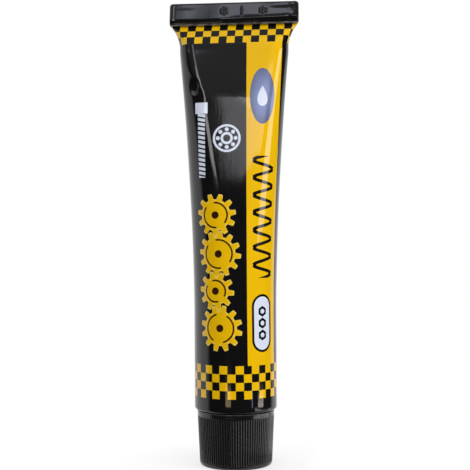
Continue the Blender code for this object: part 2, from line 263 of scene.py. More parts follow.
bore += corner_rows(SHOULDER_CORNER - FOIL_WALL, SHOULDER_CORNER - SHOULDER_WALL)

outside = [(row, 0.0) for row in shoulder + sheet]
inside = [(row, FOIL_WALL) for row in sheet[::-1]] + [(row, 0.0) for row in bore[::-1]]
rows = outside + inside + outside[:1]


def row_points(number):
    """Points of one row, in mm."""
    (y, z, heading, radius, flatness), inset = rows[number]
    tuck = np.interp(z, TUCK_Z, TUCK) if heading == 0.0 else 1.0
    spine, across, through = section(runs * radius / TUBE_RADIUS, radius, flatness, tuck)
    reach = flatness * radius - inset
    if heading == 0.0 and WALL_FOOT_Z < z < FOLD_Z:
        reach = reach + handling_marks(runs, z)
    if abs(heading - math.pi) < 0.3:
        reach = reach - np.where(through > 0.5, jaw_marks(spine, z), 0.0)
    folded = eased((z - FOLD_Z + 0.8) / 1.6) if radius == TUBE_RADIUS else 0.0
    x = spine + reach * across + folded * FLAP_SPREAD * spine / (math.pi / 2 * TUBE_RADIUS)
    depth = reach * through
    y = y + depth * math.cos(heading)
    z = z + depth * math.sin(heading)
    if radius == TUBE_RADIUS:
        x, y, z = worn_fold(x, y, z, 1.0 if heading > math.pi / 2 else 0.0)
    return np.stack([x, y, z], axis=1)


points = np.array([row_points(number) for number in range(len(rows))])

# Length along the blank at each row: the height up to where the sleeve closes in, and the
# run of the foil from there on, in which three rows of checks end just under the fold.
CHECK = GIRTH / 32
CHECKS_FOOT_Z, CHECKS_TOP_Z = 152.8, 160.3
CHECKS_HIDDEN = 0.45
front = points[:, np.abs(runs).argmin()]
length = np.linalg.norm(np.diff(front[:, 1:], axis=0), axis=1)
blank = np.zeros(len(rows))
first_wall = len(shoulder) - 1
closing = [
    number for number, ((_, z, heading, _, _), _) in enumerate(outside)
    if heading == 0.0 and CHECKS_FOOT_Z < z < CHECKS_TOP_Z
]
squeeze = 3 * CHECK / (length[closing[0] - 1:closing[-1]].sum() + CHECKS_HIDDEN)
for number in range(len(outside)):
    z = outside[number][0][1]
    if number <= first_wall:
        blank[number] = WALL_FOOT_Z - length[number:first_wall].sum()
    elif z <= OPENING_Z and number < len(shoulder) + len(wall):
        blank[number] = z
    else:
        blank[number] = blank[number - 1] + squeeze * length[number - 1]

bpy.ops.object.select_all(action="DESELECT")
bpy.ops.mesh.primitive_grid_add(x_subdivisions=columns, y_subdivisions=len(rows) - 1, size=1)
tube = bpy.context.object
tube.name = "aluminium_tube"
mesh = tube.data
place = np.zeros(3 * len(mesh.vertices))
mesh.vertices.foreach_get("co", place)
place = place.reshape(-1, 3)
column_of = np.rint((place[:, 0] + 0.5) * columns).astype(int)
row_of = np.rint((place[:, 1] + 0.5) * (len(rows) - 1)).astype(int)
middle = np.zeros(3 * len(mesh.polygons))
mesh.polygons.foreach_get("center", middle)
band_of = np.floor((middle.reshape(-1, 3)[:, 1] + 0.5) * (len(rows) - 1)).astype(int)
corner_of = np.zeros(len(mesh.loops), int)
mesh.loops.foreach_get("vertex_index", corner_of)
corner_band = np.repeat(band_of, 4)
upper = row_of[corner_of] - corner_band

# Two maps on the blank: where the print lies, in mm, and a flat layout of both skins.
print_map = mesh.uv_layers.active
print_map.name = "print"
is_inside = corner_band >= len(outside) - 1
high = np.minimum(corner_band + upper, len(outside) - 1)
print_place = np.stack([runs[column_of[corner_of]], blank[high]], axis=1)
print_place[is_inside, 1] = 0.0
print_map.data.foreach_set("uv", print_place.ravel())

LAYOUT_FOOT, LAYOUT_HEIGHT = 0.01, 0.98
OUTSIDE_LEFT, OUTSIDE_WIDTH = 0.01, 0.66
INSIDE_LEFT, INSIDE_WIDTH = 0.69, 0.3
layout = mesh.uv_layers.new(name="OFBake")
walk = np.concatenate([[0.0], np.cumsum(np.linalg.norm(np.diff(front, axis=0), axis=1))])
turn = len(outside) - 1
share_out = walk[:turn + 1] / walk[turn]
share_in = (walk[turn:] - walk[turn]) / (walk[-1] - walk[turn])
share = np.where(
    is_inside,
    share_in[np.clip(corner_band + upper - turn, 0, None)],
    share_out[np.minimum(corner_band + upper, turn)],
)
around = (runs[column_of[corner_of]] + GIRTH / 2) / GIRTH
layout_x = np.where(
    is_inside, INSIDE_LEFT + INSIDE_WIDTH * around, OUTSIDE_LEFT + OUTSIDE_WIDTH * around
)
layout_y = LAYOUT_FOOT + LAYOUT_HEIGHT * share
layout.data.foreach_set("uv", np.stack([layout_x, layout_y], axis=1).ravel())
mesh.uv_layers.active = mesh.uv_layers["print"]
mesh.uv_layers["print"].active_render = True

bare_below = len(NOZZLE_OUTSIDE) - 1
slot_of = np.where(band_of < bare_below, 1, np.where(band_of < len(outside) - 1, 0, 2))
mesh.polygons.foreach_set("material_index", slot_of.astype(np.int32))
mesh.vertices.foreach_set("co", (points[row_of, column_of] * MM).ravel())
mesh.update()
bpy.ops.object.mode_set(mode="EDIT")
bpy.ops.mesh.select_all(action="SELECT")
bpy.ops.mesh.remove_doubles(threshold=0.000002)
bpy.ops.mesh.normals_make_consistent(inside=False)
bpy.ops.object.mode_set(mode="OBJECT")
bpy.ops.object.shade_smooth_by_angle(angle=math.radians(40))


class Finish:
    """A material, with short ways to set and link its nodes."""

    def __init__(self, name):
        self.material = bpy.data.materials.new(name)
        self.material.use_nodes = True
        self.tree = self.material.node_tree
        self.shader = self.tree.nodes["Principled BSDF"]

    def feed(self, socket, value):
        """Link a socket, or set a plain value."""
        if isinstance(value, bpy.types.NodeSocket):
            self.tree.links.new(value, socket)
        elif value is not None:
            socket.default_value = value

    def set(self, **values):
        """Values or sockets for the shader, by socket name with _ for a space."""
        for name, value in values.items():
            self.feed(self.shader.inputs[name.replace("_", " ")], value)

    def calc(self, operation, *values):
        """One step of arithmetic."""
        node = self.tree.nodes.new("ShaderNodeMath")
        node.operation = operation
        for socket, value in zip(node.inputs, values):
            self.feed(socket, value)
        return node.outputs[0]

    def all_of(self, *masks):
        found = masks[0]
        for mask in masks[1:]:
            found = self.calc("MULTIPLY", found, mask)
        return found

    def any_of(self, *masks):
        found = masks[0]
        for mask in masks[1:]:
            found = self.calc("MAXIMUM", found, mask)
        return found

    def between(self, value, low, high):
        """1 from low to high, 0 outside."""
        return self.calc("COMPARE", value, (low + high) / 2, (high - low) / 2)

    def within(self, value, limit):
        return self.calc("LESS_THAN", value, limit)

    def distance(self, across, along):
        squares = self.calc("MULTIPLY_ADD", across, across, self.calc("MULTIPLY", along, along))
        return self.calc("SQRT", squares)

    def coat(self, mask, under, over):
        """One colour laid over another where the mask is 1."""
        node = self.tree.nodes.new("ShaderNodeMix")
        node.data_type = "RGBA"
        self.feed(node.inputs["Factor"], mask)
        self.feed(node.inputs[6], under)
        self.feed(node.inputs[7], over)
        return node.outputs[2]

    def ranged(self, value, low, high, to_low, to_high):
        """A value spread over another range and held at its ends."""
        node = self.tree.nodes.new("ShaderNodeMapRange")
        for socket, number in zip(node.inputs, (value, low, high, to_low, to_high)):
            self.feed(socket, number)
        return node.outputs[0]

    def place(self, stretch=(1, 1, 1)):
        """Coordinates on the piece, stretched if need be."""
        source = self.tree.nodes.new("ShaderNodeTexCoord").outputs["Object"]
        node = self.tree.nodes.new("ShaderNodeMapping")
        node.inputs["Scale"].default_value = stretch
        self.feed(node.inputs["Vector"], source)
        return node.outputs[0]

    def noise(self, place, scale, detail=2.0):
        node = self.tree.nodes.new("ShaderNodeTexNoise")
        self.feed(node.inputs["Vector"], place)
        node.inputs["Scale"].default_value = scale
        node.inputs["Detail"].default_value = detail
        return node.outputs[0]

    def bump(self, height, strength, depth, under=None):
        """A relief, laid over another one if given."""
        node = self.tree.nodes.new("ShaderNodeBump")
        node.inputs["Strength"].default_value = strength
        node.inputs["Distance"].default_value = depth
        self.feed(node.inputs["Height"], height)
        self.feed(node.inputs["Normal"], under)
        return node.outputs[0]


# The print, drawn in mm on the blank: across counts round the tube from the front middle,
# along counts up it. The whole design is printed twice round.
CHECK_OFFSET = 0.45 * CHECK
LOW_BAND_FOOT = 25.6
LOW_BAND = (LOW_BAND_FOOT, LOW_BAND_FOOT + 4 * CHECK)
HIGH_BAND = (CHECKS_FOOT_Z, CHECKS_FOOT_Z + 3 * CHECK)
PRINT_LEFT = -21.0
PRINT_LEAN, PRINT_SHIFT = 0.0077, -0.73
PANEL = (1.95 * CHECK, 6.4 * CHECK)
BLACK = (0.0045, 0.0045, 0.005, 1)
YELLOW = (0.80, 0.47, 0.002, 1)
PALE_YELLOW = (0.80, 0.57, 0.09, 1)
BROWN = (0.028, 0.009, 0.004, 1)
WHITE = (0.66, 0.71, 0.84, 1)
SHEEN_STEEL_BLUE = (0.22, 0.27, 0.49, 1)
SHADED_STEEL_BLUE = (0.13, 0.15, 0.25, 1)
RUBBED_AND_HIGHLIT_LACQUER = (0.16, 0.16, 0.165, 1)

lacquer = Finish("printed_lacquer")
split = lacquer.tree.nodes.new("ShaderNodeSeparateXYZ")
uv = lacquer.tree.nodes.new("ShaderNodeUVMap")
uv.uv_map = "print"
lacquer.feed(split.inputs[0], uv.outputs[0])
around_tube, along = split.outputs[0], split.outputs[1]
lean = lacquer.calc("MULTIPLY_ADD", along, PRINT_LEAN, PRINT_SHIFT)
leaning = lacquer.calc("ADD", around_tube, lean)
across = lacquer.calc("WRAP", leaning, PRINT_LEFT + GIRTH / 2, PRINT_LEFT)


def apart(axis, middle):
    """Distance from a middle line, with its sign."""
    return lacquer.calc("SUBTRACT", axis, middle)


def checks(band):
    """Yellow squares of a checkered band that runs right round."""
    column = lacquer.calc("FLOOR", lacquer.calc("DIVIDE", apart(across, CHECK_OFFSET), CHECK))
    row = lacquer.calc("FLOOR", lacquer.calc("DIVIDE", apart(along, band[0]), CHECK))
    odd = lacquer.calc("PINGPONG", lacquer.calc("ADD", column, row), 1.0)
    return lacquer.all_of(odd, lacquer.between(along, *band))


TOOTH_ROOM = 0.6  # a gear's radius for each of its teeth
TOOTH_HEIGHT = 1.0  # above and below that radius
TOOTH_FLANK = 2.1
GEAR_OUTLINE = 0.55
GEAR_BORE = 1.35
GROOVE_INSET, GROOVE_WIDTH, GROOVE_BREAK = 2.5, 0.6, -0.72


def gear(middle, teeth, turn):
    """A gear wheel: its disc, its pale outline, and its broken groove and bore."""
    x, y = apart(across, middle[0]), apart(along, middle[1])
    reach = lacquer.distance(x, y)
    angle = lacquer.calc("ARCTAN2", y, x)
    pitch = TOOTH_ROOM * teeth
    wave = lacquer.calc("COSINE", lacquer.calc("MULTIPLY_ADD", angle, teeth, -teeth * turn))
    flank = lacquer.calc("MINIMUM", lacquer.calc("MULTIPLY", wave, TOOTH_FLANK), 1.0)
    flank = lacquer.calc("MAXIMUM", flank, -1.0)
    rim = lacquer.calc("MULTIPLY_ADD", flank, TOOTH_HEIGHT, pitch)
    inward = lacquer.calc("SUBTRACT", rim, reach)
    disc = lacquer.calc("GREATER_THAN", inward, 0.0)
    outline = lacquer.between(inward, 0.0, GEAR_OUTLINE)
    twice_round = lacquer.calc("COSINE", lacquer.calc("MULTIPLY_ADD", angle, 2.0, turn))
    broken = lacquer.calc("GREATER_THAN", twice_round, GROOVE_BREAK)
    groove_foot = pitch - GROOVE_INSET
    groove = lacquer.between(reach, groove_foot, groove_foot + GROOVE_WIDTH)
    groove = lacquer.all_of(groove, broken)
    bore = lacquer.within(reach, GEAR_BORE)
    return disc, outline, lacquer.any_of(groove, bore)


def gear_train(first, wheels):
    """Gears one above the other, each turned so that its teeth meet the gaps of the last.

    A wheel is its number of teeth and how far it leans from straight above the last one.
    """
    found = []
    x, y = first
    turn = 0.3
    last = None
    for teeth, lean in wheels:
        if last:
            step = TOOTH_ROOM * (teeth + last)
            angle = math.pi / 2 + lean
            x, y = x + step * math.cos(angle), y + step * math.sin(angle)
            ahead = (angle - turn + math.pi / last) % (2 * math.pi / last) - math.pi / last
            turn = angle + math.pi + ahead * last / teeth + math.pi / teeth
        found.append(gear((x, y), teeth, turn))
        last = teeth
    return found


def drop(middle, width, height):
    """An oil drop with its tip up."""
    share = lacquer.calc("DIVIDE", apart(along, middle[1] - height / 2), height)
    narrowing = lacquer.calc("SUBTRACT", 1.0, share)
    wide = lacquer.calc("MULTIPLY", lacquer.calc("SQRT", share), narrowing)
    wide = lacquer.calc("MULTIPLY", wide, 1.3 * width)
    inside = lacquer.within(lacquer.calc("ABSOLUTE", apart(across, middle[0])), wide)
    return lacquer.all_of(inside, lacquer.between(share, 0.0, 1.0))


def box(left, right, low, high):
    """An upright rectangle."""
    return lacquer.all_of(lacquer.between(across, left, right), lacquer.between(along, low, high))


def pill(middle, half_width, half_length):
    """Inward distance from the edge of a rounded bar that stands upright."""
    up_or_down = lacquer.calc("ABSOLUTE", apart(along, middle[1]))
    past = lacquer.calc("SUBTRACT", up_or_down, half_length - half_width)
    reach = lacquer.distance(apart(across, middle[0]), lacquer.calc("MAXIMUM", past, 0.0))
    return lacquer.calc("SUBTRACT", half_width, reach)


def oval(middle, half_width, half_length):
    """Share of the way out to the edge of an oval."""
    x = lacquer.calc("DIVIDE", apart(across, middle[0]), half_width)
    y = lacquer.calc("DIVIDE", apart(along, middle[1]), half_length)
    return lacquer.distance(x, y)


colour = BLACK
panel = box(*PANEL, LOW_BAND[1], HIGH_BAND[0])
bands = lacquer.any_of(checks(LOW_BAND), checks(HIGH_BAND))
colour = lacquer.coat(lacquer.any_of(panel, bands), colour, YELLOW)

# Gear train on the black.
GEARS_FOOT = (-4.2, 50.6)
GEARS = [(12, 0.0), (10, 0.12), (12, -0.1), (11, 0.08)]
for disc, outline, dark in gear_train(GEARS_FOOT, GEARS):
    colour = lacquer.coat(disc, colour, YELLOW)
    colour = lacquer.coat(outline, colour, PALE_YELLOW)
    colour = lacquer.coat(dark, colour, BROWN)

# Coil spring in black on the panel: a wave of even stroke.
SPRING_X, SPRING_LOW, SPRING_COIL, SPRING_SWING = 12.2, 68.2, 6.2, 3.5
SPRING_COILS = 7
SPRING_STROKE = 0.62
SPRING_SLOPE = SPRING_SWING * 2 * math.pi / SPRING_COIL
phase = lacquer.calc("MULTIPLY", apart(along, SPRING_LOW), 2 * math.pi / SPRING_COIL)
wave = lacquer.calc("MULTIPLY_ADD", lacquer.calc("SINE", phase), SPRING_SWING, SPRING_X)
slope = lacquer.calc("MULTIPLY", lacquer.calc("COSINE", phase), SPRING_SLOPE)
aside = lacquer.calc("ABSOLUTE", lacquer.calc("SUBTRACT", across, wave))
aside = lacquer.calc("DIVIDE", aside, lacquer.distance(slope, 1.0))
spring = lacquer.all_of(
    lacquer.within(aside, SPRING_STROKE),
    lacquer.between(along, SPRING_LOW, SPRING_LOW + SPRING_COILS * SPRING_COIL),
)
colour = lacquer.coat(spring, colour, BLACK)

# Metal window with a white drop near the top of the panel.
WINDOW_MIDDLE = (11.5, 133.1)
WINDOW_HALF_WIDTH, WINDOW_HALF_LENGTH = 4.5, 10.1
DROP_WIDTH, DROP_HEIGHT = 3.6, 7.4
window_share = oval(WINDOW_MIDDLE, WINDOW_HALF_WIDTH, WINDOW_HALF_LENGTH)
window = lacquer.within(window_share, 1.0)
# The window's colour is lighter in the middle and darker towards its rim: a painted sheen, with
# painted shade at the rim.
painted_sheen = lacquer.ranged(window_share, 0.35, 1.0, 1.0, 0.0)
colour = lacquer.coat(window, colour, lacquer.coat(painted_sheen, SHADED_STEEL_BLUE, SHEEN_STEEL_BLUE))
oil_drop = drop(WINDOW_MIDDLE, DROP_WIDTH, DROP_HEIGHT)
colour = lacquer.coat(oil_drop, colour, WHITE)
metal = lacquer.calc("SUBTRACT", window, oil_drop)

# White plate with a black rim and three hexagon nuts near the foot of the panel.
PLATE_MIDDLE = (11.9, 52.2)
PLATE_HALF_WIDTH, PLATE_HALF_LENGTH = 4.4, 10.3
PLATE_RIM = 0.85
NUT_SPACING = 4.2
NUT_HALF_FLAT, NUT_BORE = 1.7, 0.85
plate = pill(PLATE_MIDDLE, PLATE_HALF_WIDTH, PLATE_HALF_LENGTH)
colour = lacquer.coat(lacquer.calc("GREATER_THAN", plate, 0.0), colour, BLACK)
colour = lacquer.coat(lacquer.calc("GREATER_THAN", plate, PLATE_RIM), colour, WHITE)
for step in (-1, 0, 1):
    x = apart(across, PLATE_MIDDLE[0])
    y = apart(along, PLATE_MIDDLE[1] + step * NUT_SPACING)
    flat = lacquer.calc("ABSOLUTE", x)
    half = lacquer.calc("MULTIPLY", flat, 0.5)
    point = lacquer.calc("MULTIPLY_ADD", lacquer.calc("ABSOLUTE", y), 0.866, half)
    nut = lacquer.all_of(
        lacquer.within(lacquer.calc("MAXIMUM", flat, point), NUT_HALF_FLAT),
        lacquer.calc("GREATER_THAN", lacquer.distance(x, y), NUT_BORE),
    )
    colour = lacquer.coat(nut, colour, BLACK)

# Two white pictograms on the black: a bolt and a ball bearing.
BOLT_HEAD = (-13.0, -8.2, 127.0, 131.0)
BOLT_SHANK = (-12.0, -9.2, 104.0, 127.0)
BOLT_PITCH, BOLT_GROOVE, BOLT_HELIX = 1.6, 0.55, 0.2
wound = lacquer.calc("MULTIPLY_ADD", across, BOLT_HELIX, along)
wound = lacquer.calc("WRAP", wound, BOLT_PITCH, 0.0)
ridges = lacquer.calc("GREATER_THAN", wound, BOLT_GROOVE)
bolt = lacquer.any_of(box(*BOLT_HEAD), lacquer.all_of(box(*BOLT_SHANK), ridges))

BEARING_X, BEARING_Z = -1.3, 118.0
OUTER_RACE, INNER_RACE = (4.2, 5.0), (1.3, 2.2)
BALL_COUNT, BALL_CIRCLE, BALL_RADIUS = 8, 3.2, 0.7
x, y = apart(across, BEARING_X), apart(along, BEARING_Z)
reach = lacquer.distance(x, y)
ball_turn = lacquer.calc("ADD", lacquer.calc("ARCTAN2", y, x), math.pi)
ball_turn = lacquer.calc("PINGPONG", ball_turn, math.pi / BALL_COUNT)
ball_x = lacquer.calc("MULTIPLY_ADD", reach, lacquer.calc("COSINE", ball_turn), -BALL_CIRCLE)
ball_y = lacquer.calc("MULTIPLY", reach, lacquer.calc("SINE", ball_turn))
bearing = lacquer.any_of(
    lacquer.between(reach, *OUTER_RACE),
    lacquer.between(reach, *INNER_RACE),
    lacquer.within(lacquer.distance(ball_x, ball_y), BALL_RADIUS),
)
colour = lacquer.coat(lacquer.any_of(bolt, bearing), colour, WHITE)

# Along the hem's lower bend the lacquer is painted a paler grey in patches: partly rubbed
# lacquer, partly a painted highlight on the bend.
hem_rows = [
    number for number, ((_, _, heading, _, _), _) in enumerate(outside)
    if math.pi + 0.4 < heading < 1.75 * math.pi
]
hem_low, hem_high = blank[hem_rows[0]], blank[hem_rows[-1]]
rub = lacquer.ranged(lacquer.noise(lacquer.place(), 350, 3), 0.35, 0.6, 0.3, 1.0)
rub_and_highlight = lacquer.all_of(lacquer.between(along, hem_low, hem_high), rub)
colour = lacquer.coat(rub_and_highlight, colour, RUBBED_AND_HIGHLIT_LACQUER)

# Under the gloss: fine lines from the drawing of the tube, a faint peel and uneven wear.
drawn = lacquer.noise(lacquer.place((1, 1, 0.06)), 900, 3)
peel = lacquer.noise(lacquer.place(), 420, 2)
worn = lacquer.noise(lacquer.place(), 60, 5)
lacquer.set(
    Base_Color=colour,
    Metallic=lacquer.calc("MULTIPLY", metal, 0.2),
    Roughness=lacquer.calc(
        "MULTIPLY_ADD", metal, 0.14, lacquer.ranged(worn, 0.3, 0.7, 0.05, 0.1)
    ),
    Normal=lacquer.bump(drawn, 0.12, 0.00005, lacquer.bump(peel, 0.08, 0.00008)),
)
mesh.materials.append(lacquer.material)

bare = Finish("bare_aluminium")
turned_lines = bare.noise(bare.place((0.02, 0.02, 1)), 6000, 2)
bare.set(
    Base_Color=(0.78, 0.79, 0.80, 1),
    Metallic=1.0,
    Roughness=bare.ranged(turned_lines, 0.3, 0.7, 0.28, 0.42),
    Normal=bare.bump(turned_lines, 0.15, 0.00005),
)
mesh.materials.append(bare.material)

lining = Finish("gold_lining")
lining.set(
    Base_Color=(0.55, 0.36, 0.10, 1),
    Metallic=0.8,
    Roughness=lining.ranged(lining.noise(lining.place(), 200, 3), 0.3, 0.7, 0.3, 0.45),
)
mesh.materials.append(lining.material)

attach(tube, "tube")
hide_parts("tube_body")


# The cap: one moulding in black polypropylene, with a finely ribbed skirt, a smooth band
# under the rim and a core inside that carries the thread. It screws onto the nozzle.
CAP_HEIGHT = 20.0
RIM_RADIUS = 14.05
CAP_TAPER = 0.9
CAP_WALL = 1.2
CAP_CORNER = 1.1
RIB_COUNT = 90
RIB_DEPTH = 0.24
RIB_FOOT_Z, RIB_TOP_Z = 1.3, 18.4
RIB_RUN_OUT = 0.6
COLUMNS_PER_RIB = 10
CORE_BORE = 5.65
CORE_RADIUS = 6.95
CORE_TOP_Z = 17.4
FLOOR_Z = 2.2
SKIRT_INSIDE = 12.6


def skirt(z):
    """Radius of the tapered skirt."""
    return RIM_RADIUS - CAP_TAPER * (1 - z / CAP_HEIGHT)


# Profile from the middle of the end, round the foot, up the skirt, over the rim and down
# inside, to the core and its floor.
outline = [(0.0, 0.55), (0.5, 0.55), (0.62, 0.4), (4.0, 0.4), (8.0, 0.4), (9.6, 0.4)]
outline += [(9.75, 0.3), (9.95, 0.06), (10.15, 0.0), (11.0, 0.0), (12.0, 0.0)]
foot_radius = skirt(CAP_CORNER) - CAP_CORNER
outline += [
    (foot_radius + CAP_CORNER * math.sin(a), CAP_CORNER - CAP_CORNER * math.cos(a))
    for a in np.linspace(0, math.pi / 2, 9)
]
heights = list(np.linspace(RIB_FOOT_Z, RIB_FOOT_Z + RIB_RUN_OUT, 6))
heights += list(np.linspace(RIB_FOOT_Z + RIB_RUN_OUT, RIB_TOP_Z - RIB_RUN_OUT, 8))[1:]
heights += list(np.linspace(RIB_TOP_Z - RIB_RUN_OUT, RIB_TOP_Z, 6))[1:] + [18.9, 19.6]
outline += [(skirt(z), z) for z in heights]
outline += [(RIM_RADIUS + 0.02, 19.76), (RIM_RADIUS - 0.03, 19.9), (RIM_RADIUS - 0.14, 19.98)]
outline += [(RIM_RADIUS - 0.3, CAP_HEIGHT), (13.1, CAP_HEIGHT), (12.93, 19.95), (12.85, 19.8)]
outline += [(skirt(z) - CAP_WALL, z) for z in (15.0, 10.0, 5.0, 2.7)]
outline += [(11.75, 2.35), (11.5, FLOOR_Z), (9.5, FLOOR_Z), (7.4, FLOOR_Z), (7.1, 2.3)]
outline += [(CORE_RADIUS, z) for z in (2.55, 6.0, 11.0, 17.1)]
outline += [(6.87, 17.32), (6.7, CORE_TOP_Z), (6.3, CORE_TOP_Z), (6.15, CORE_TOP_Z)]
outline += [(CORE_BORE + 0.05, 16.95), (CORE_BORE, 16.8)]
outline += [(CORE_BORE, z) for z in (13.0, 9.0, 5.0, FLOOR_Z)]
outline += [(3.0, FLOOR_Z), (0.0, FLOOR_Z)]

bpy.ops.object.select_all(action="DESELECT")
bpy.ops.mesh.primitive_circle_add(vertices=len(outline), radius=1.0)
cap = bpy.context.object
cap.name = "ribbed_cap"
for vertex, (radius, z) in zip(cap.data.vertices, outline):
    vertex.co = (radius * MM, 0.0, z * MM)
bpy.ops.object.mode_set(mode="EDIT")
bpy.ops.mesh.select_mode(type="EDGE")
bpy.ops.mesh.select_all(action="DESELECT")
bpy.ops.object.mode_set(mode="OBJECT")
for side in cap.data.edges:
    side.select = all(cap.data.vertices[v].co.x < 1e-7 for v in side.vertices)
bpy.ops.object.mode_set(mode="EDIT")
bpy.ops.mesh.delete(type="EDGE")
bpy.ops.mesh.select_all(action="SELECT")
bpy.ops.mesh.spin(
    steps=RIB_COUNT * COLUMNS_PER_RIB, angle=2 * math.pi, center=(0, 0, 0), axis=(0, 0, 1)
)
bpy.ops.mesh.select_all(action="SELECT")
bpy.ops.mesh.remove_doubles(threshold=0.000005)
bpy.ops.mesh.normals_make_consistent(inside=False)
bpy.ops.object.mode_set(mode="OBJECT")

# The ribs: sharp crests all round the skirt, drawn in between, that run out at both ends.
place = np.zeros(3 * len(cap.data.vertices))
cap.data.vertices.foreach_get("co", place)
place = place.reshape(-1, 3) / MM
reach = np.hypot(place[:, 0], place[:, 1])
turn = np.arctan2(place[:, 1], place[:, 0])
height = place[:, 2]
on_skirt = (reach > SKIRT_INSIDE) & (height > RIB_FOOT_Z) & (height < RIB_TOP_Z)
run_out = eased((height - RIB_FOOT_Z) / RIB_RUN_OUT) * eased((RIB_TOP_Z - height) / RIB_RUN_OUT)
valley = 1 - np.abs(np.cos(RIB_COUNT * turn / 2))
drawn_in = np.where(on_skirt, RIB_DEPTH * run_out * valley, 0.0)
place[:, :2] *= ((reach - drawn_in) / np.maximum(reach, 1e-9))[:, None]
cap.data.vertices.foreach_set("co", (place * MM).ravel())
cap.data.update()
bpy.ops.object.shade_smooth_by_angle(angle=math.radians(38))

MOULDED_BLACK = (0.0045, 0.0047, 0.006, 1)
MOULDED_GREY = (0.007, 0.0072, 0.0088, 1)
RIM_HIGHLIGHT_GREY = (0.05, 0.05, 0.05, 1)
RIM_EDGE_RADIUS, RIM_EDGE_Z = 13.8, (19.7, 19.97)

moulded = Finish("black_moulding")
grain = moulded.noise(moulded.place(), 1500, 3)
cloud = moulded.noise(moulded.place(), 90, 4)
split = moulded.tree.nodes.new("ShaderNodeSeparateXYZ")
moulded.feed(split.inputs[0], moulded.place((1 / MM, 1 / MM, 1 / MM)))
at_rim = moulded.between(split.outputs[2], *RIM_EDGE_Z)
reach = moulded.distance(split.outputs[0], split.outputs[1])
outer = moulded.calc("GREATER_THAN", reach, RIM_EDGE_RADIUS)
# The rim's top outer edge is painted a lighter grey: a painted highlight.
rub_and_highlight = moulded.all_of(at_rim, outer)
clouded = moulded.coat(cloud, MOULDED_BLACK, MOULDED_GREY)
moulded.set(
    Base_Color=moulded.coat(rub_and_highlight, clouded, RIM_HIGHLIGHT_GREY),
    Roughness=moulded.ranged(cloud, 0.3, 0.7, 0.12, 0.2),
    Normal=moulded.bump(grain, 0.1, 0.00005),
)
cap.data.materials.append(moulded.material)
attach(cap, "cap")
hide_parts("screw_cap")


# The threads: one right-hand ridge rolled onto the nozzle and one moulded inside the cap's
# core, half a pitch apart, so that each runs in the other's groove.
PITCH = 1.5
RIDGE_SINK = 0.08
RIDGE_BANK = 0.12
RIDGE_HALF_FOOT, RIDGE_HALF_BANK, RIDGE_HALF_CREST = 0.34, 0.17, 0.08
RIDGE_STEPS = 64
RIDGE_RUN_OUT = 0.3  # turns over which each end runs out
RIDGE_END = 0.15  # share of its height that is left at the very end


def thread(name, root, crest, low_z, high_z, offset, material):
    """A ridge wound up the axis, with ends that run out into the wall."""
    turns = (high_z - low_z) / PITCH
    sunk = root - RIDGE_SINK * np.sign(crest - root)
    bank = crest - RIDGE_BANK * np.sign(crest - root)
    upper = [(crest, RIDGE_HALF_CREST), (bank, RIDGE_HALF_BANK), (sunk, RIDGE_HALF_FOOT)]
    ring = [(radius, -z) for radius, z in upper[::-1]] + upper
    bpy.ops.object.select_all(action="DESELECT")
    bpy.ops.mesh.primitive_circle_add(vertices=len(ring), radius=1.0)
    ridge = bpy.context.object
    ridge.name = name
    for vertex, (radius, z) in zip(ridge.data.vertices, ring):
        vertex.co = (radius * MM, 0.0, (low_z + offset + z) * MM)
    wind = ridge.modifiers.new("wind", "SCREW")
    wind.angle = 2 * math.pi * turns
    wind.screw_offset = (high_z - low_z) * MM
    wind.steps = wind.render_steps = round(RIDGE_STEPS * turns)
    wind.use_merge_vertices = False
    bpy.ops.object.modifier_apply(modifier=wind.name)
    bpy.ops.object.mode_set(mode="EDIT")
    bpy.ops.mesh.select_mode(type="EDGE")
    bpy.ops.mesh.select_all(action="DESELECT")
    bpy.ops.mesh.select_non_manifold()
    bpy.ops.mesh.edge_face_add()
    bpy.ops.mesh.select_all(action="SELECT")
    bpy.ops.mesh.normals_make_consistent(inside=False)
    bpy.ops.object.mode_set(mode="OBJECT")
    for vertex in ridge.data.vertices:
        angle = math.atan2(vertex.co.y, vertex.co.x)
        height = vertex.co.z / MM - low_z - offset
        wound = (height - angle / (2 * math.pi) * PITCH) / PITCH
        wound = angle / (2 * math.pi) + round(wound)
        left = min(wound, turns - wound)
        stand = RIDGE_END + (1 - RIDGE_END) * float(eased(left / RIDGE_RUN_OUT))
        radius = vertex.co.xy.length / MM
        full = radius - sunk
        vertex.co.xy *= (sunk + full * stand) / radius
    bpy.ops.object.shade_smooth_by_angle(angle=math.radians(50))
    ridge.data.materials.append(material)
    return ridge


NOZZLE_ROOT, NOZZLE_CREST = 4.7, 5.42
CORE_CREST = 4.92
nozzle_thread = thread(
    "nozzle_thread", NOZZLE_ROOT, NOZZLE_CREST,
    low_z=5.0, high_z=13.4, offset=0.0, material=bare.material,
)
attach(nozzle_thread, "tube")
core_thread = thread(
    "core_thread", CORE_BORE, CORE_CREST,
    low_z=5.3, high_z=14.3, offset=0.45, material=moulded.material,
)
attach(core_thread, "cap")


# The liner: a disc of white foamed polyethylene, punched from sheet and pushed to the bottom
# of the cap's core, where the mouth of the nozzle presses on it.
FOAM_WHITE = (0.86, 0.86, 0.83, 1)
FOAM_SHADE = (0.74, 0.74, 0.71, 1)
foam = Finish("white_foam")
cells = foam.tree.nodes.new("ShaderNodeTexVoronoi")
foam.feed(cells.inputs["Vector"], foam.place())
cells.inputs["Scale"].default_value = 3500
foam.set(
    Base_Color=foam.coat(cells.outputs["Distance"], FOAM_WHITE, FOAM_SHADE),
    Roughness=foam.ranged(cells.outputs["Distance"], 0.0, 0.6, 0.55, 0.8),
    Normal=foam.bump(cells.outputs["Distance"], 0.3, 0.0001),
)


def dress(piece, finish):
    """Give a piece that the CAD model carries its finish."""
    carried = frame["nodes"][piece]
    carried.data.materials.clear()
    carried.data.materials.append(finish.material)


dress("cap_liner", foam)


